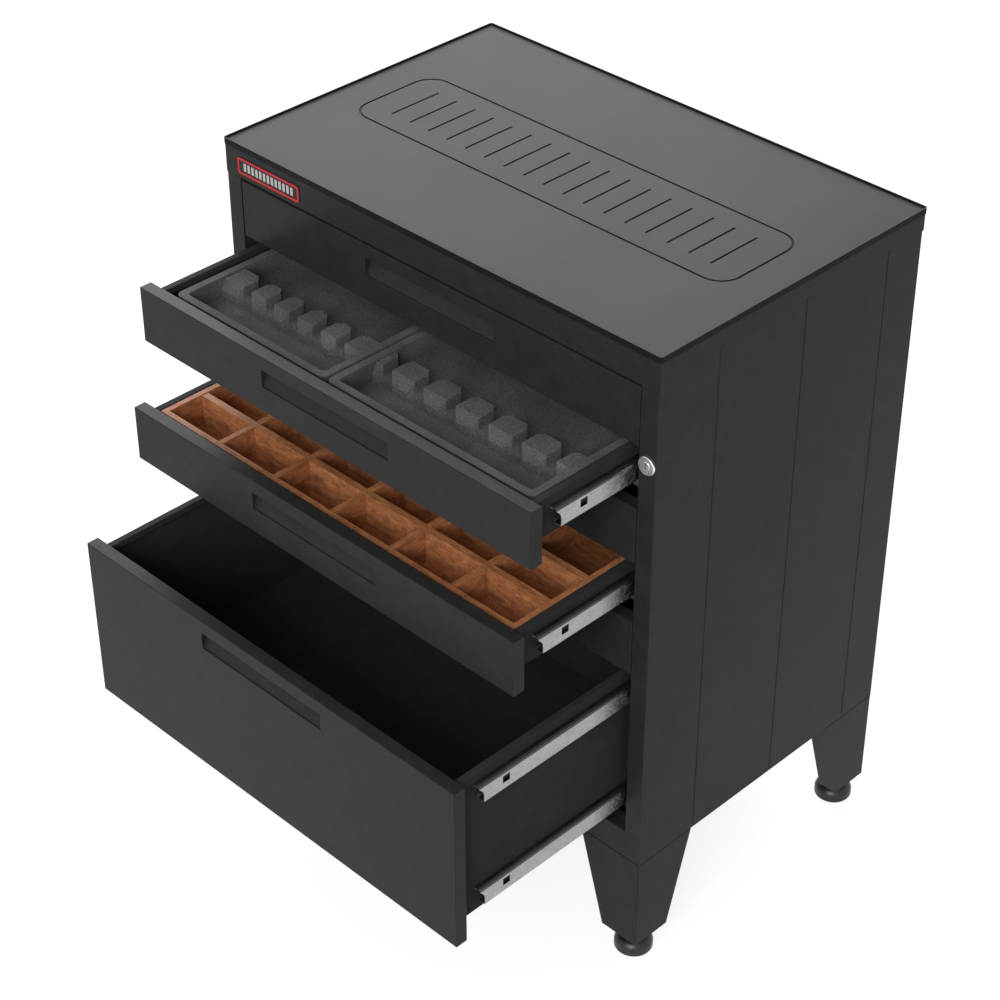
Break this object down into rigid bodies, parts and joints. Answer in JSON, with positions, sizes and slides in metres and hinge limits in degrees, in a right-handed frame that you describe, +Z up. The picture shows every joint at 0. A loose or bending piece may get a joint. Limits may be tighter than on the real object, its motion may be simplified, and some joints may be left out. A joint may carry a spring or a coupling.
{
  "type": "tool cabinet",
  "caption": "Free-standing steel tool cabinet on tapered legs: shallow drawers over a deep one on ball-bearing slides, moulded and wooden trays, cam lock, rubber worktop.",
  "frame": {"origin": "on the floor, at the middle of the rectangle that the cabinet covers with its drawers open as in the picture", "axes": "+X to the right seen from the front, +Y from the front to the back, +Z up"},
  "size_m": [0.7024, 0.731, 0.8908],
  "materials": {
    "steel_black": "fine black powder coat",
    "mat_rubber": "matt dark grey moulded rubber",
    "badge": "dark plate with a red rim",
    "zinc_steel": "zinc-plated steel strip",
    "bearing_steel": "polished bearing steel and plated cage strip",
    "galvanised": "plain plated steel",
    "pad_rubber": "black moulded rubber",
    "bright_metal": "polished plated cap",
    "tray_foam": "dark grey moulded tray",
    "wood_brown": "stained plywood and battens"
  },
  "bodies": {
    "cabinet": {"top_cover": "steel_black", "worktop_tray": "steel_black", "worktop_mat": "mat_rubber", "badge_plate": "badge", "side_panel_left": "steel_black", "side_panel_right": "steel_black", "back_panel": "steel_black", "base_panel": "steel_black", "front_sill": "steel_black", "slide_uprights": "steel_black", "cabinet_slides": "zinc_steel", "leg_front_right": "steel_black", "leg_front_left": "steel_black", "leg_rear_right": "steel_black", "leg_rear_left": "steel_black", "foot_studs": "galvanised", "foot_nuts": "galvanised", "lock_housing": "bright_metal", "lock_nut": "galvanised", "lock_bar_guides": "galvanised", "back_panel_screws": "galvanised", "leg_bolts": "galvanised"},
    "drawer_1": {"drawer_1_body": "steel_black", "drawer_1_front": "steel_black", "drawer_1_slides": "zinc_steel"},
    "drawer_1_cages": {"drawer_1_ball_cages": "bearing_steel"},
    "drawer_2": {"drawer_2_body": "steel_black", "drawer_2_front": "steel_black", "drawer_2_slides": "zinc_steel", "tool_tray_left": "tray_foam", "tool_tray_right": "tray_foam"},
    "drawer_2_cages": {"drawer_2_ball_cages": "bearing_steel"},
    "drawer_3": {"drawer_3_body": "steel_black", "drawer_3_front": "steel_black", "drawer_3_slides": "zinc_steel"},
    "drawer_3_cages": {"drawer_3_ball_cages": "bearing_steel"},
    "drawer_4": {"drawer_4_body": "steel_black", "drawer_4_front": "steel_black", "drawer_4_slides": "zinc_steel", "wood_tray_base": "wood_brown", "wood_tray_walls": "wood_brown", "wood_tray_long_dividers": "wood_brown", "wood_tray_cross_dividers": "wood_brown"},
    "drawer_4_cages": {"drawer_4_ball_cages": "bearing_steel"},
    "drawer_5": {"drawer_5_body": "steel_black", "drawer_5_front": "steel_black", "drawer_5_slides": "zinc_steel"},
    "drawer_5_cages": {"drawer_5_ball_cages": "bearing_steel"},
    "drawer_6": {"drawer_6_body": "steel_black", "drawer_6_front": "steel_black", "drawer_6_slides": "zinc_steel"},
    "drawer_6_cages": {"drawer_6_ball_cages": "bearing_steel"},
    "lock_plug": {"lock_plug": "bright_metal", "lock_cam": "galvanised", "lock_cam_screw": "galvanised"},
    "lock_bar": {"lock_bar": "galvanised"},
    "foot_pad_front_left": {"foot_pad_front_left": "pad_rubber"},
    "foot_pad_rear_left": {"foot_pad_rear_left": "pad_rubber"},
    "foot_pad_front_right": {"foot_pad_front_right": "pad_rubber"},
    "foot_pad_rear_right": {"foot_pad_rear_right": "pad_rubber"}
  },
  "joints": [
    {"name": "drawer_1_slide", "type": "slide", "parent": "cabinet", "child": "drawer_1", "axis": [0, -1, 0], "range_m": [0, 0.3]},
    {"name": "drawer_1_cage_travel", "type": "slide", "parent": "cabinet", "child": "drawer_1_cages", "axis": [0, -1, 0], "range_m": [0, 0.15]},
    {"name": "drawer_2_slide", "type": "slide", "parent": "cabinet", "child": "drawer_2", "axis": [0, -1, 0], "range_m": [-0.1635, 0.1365]},
    {"name": "drawer_2_cage_travel", "type": "slide", "parent": "cabinet", "child": "drawer_2_cages", "axis": [0, -1, 0], "range_m": [-0.08175, 0.06825]},
    {"name": "drawer_3_slide", "type": "slide", "parent": "cabinet", "child": "drawer_3", "axis": [0, -1, 0], "range_m": [0, 0.3]},
    {"name": "drawer_3_cage_travel", "type": "slide", "parent": "cabinet", "child": "drawer_3_cages", "axis": [0, -1, 0], "range_m": [0, 0.15]},
    {"name": "drawer_4_slide", "type": "slide", "parent": "cabinet", "child": "drawer_4", "axis": [0, -1, 0], "range_m": [-0.1892, 0.1108]},
    {"name": "drawer_4_cage_travel", "type": "slide", "parent": "cabinet", "child": "drawer_4_cages", "axis": [0, -1, 0], "range_m": [-0.0946, 0.0554]},
    {"name": "drawer_5_slide", "type": "slide", "parent": "cabinet", "child": "drawer_5", "axis": [0, -1, 0], "range_m": [0, 0.3]},
    {"name": "drawer_5_cage_travel", "type": "slide", "parent": "cabinet", "child": "drawer_5_cages", "axis": [0, -1, 0], "range_m": [0, 0.15]},
    {"name": "drawer_6_slide", "type": "slide", "parent": "cabinet", "child": "drawer_6", "axis": [0, -1, 0], "range_m": [-0.2798, 0.0202]},
    {"name": "drawer_6_cage_travel", "type": "slide", "parent": "cabinet", "child": "drawer_6_cages", "axis": [0, -1, 0], "range_m": [-0.1399, 0.0101]},
    {"name": "lock_turn", "type": "hinge", "parent": "cabinet", "child": "lock_plug", "pos_m": [0.3364, -0.0857, 0.7482], "axis": [0, -1, 0], "range_deg": [0, 90]},
    {"name": "lock_bar_lift", "type": "slide", "parent": "cabinet", "child": "lock_bar", "axis": [0, 0, 1], "range_m": [0, 0.008]},
    {"name": "foot_pad_front_left_turn", "type": "hinge", "parent": "cabinet", "child": "foot_pad_front_left", "pos_m": [-0.3228, -0.0597, 0.01], "axis": [0, 0, 1], "continuous": true},
    {"name": "foot_pad_rear_left_turn", "type": "hinge", "parent": "cabinet", "child": "foot_pad_rear_left", "pos_m": [-0.3228, 0.3371, 0.01], "axis": [0, 0, 1], "continuous": true},
    {"name": "foot_pad_front_right_turn", "type": "hinge", "parent": "cabinet", "child": "foot_pad_front_right", "pos_m": [0.3228, -0.0597, 0.01], "axis": [0, 0, 1], "continuous": true},
    {"name": "foot_pad_rear_right_turn", "type": "hinge", "parent": "cabinet", "child": "foot_pad_rear_right", "pos_m": [0.3228, 0.3371, 0.01], "axis": [0, 0, 1], "continuous": true}
  ],
  "couplings": [
    {"joint": "drawer_1_cage_travel", "follows": "drawer_1_slide", "ratio": 0.5},
    {"joint": "drawer_2_cage_travel", "follows": "drawer_2_slide", "ratio": 0.5},
    {"joint": "drawer_3_cage_travel", "follows": "drawer_3_slide", "ratio": 0.5},
    {"joint": "drawer_4_cage_travel", "follows": "drawer_4_slide", "ratio": 0.5},
    {"joint": "drawer_5_cage_travel", "follows": "drawer_5_slide", "ratio": 0.5},
    {"joint": "drawer_6_cage_travel", "follows": "drawer_6_slide", "ratio": 0.5},
    {"joint": "lock_turn", "follows": "lock_bar_lift", "rad_per_m": 196.2}
  ]
}
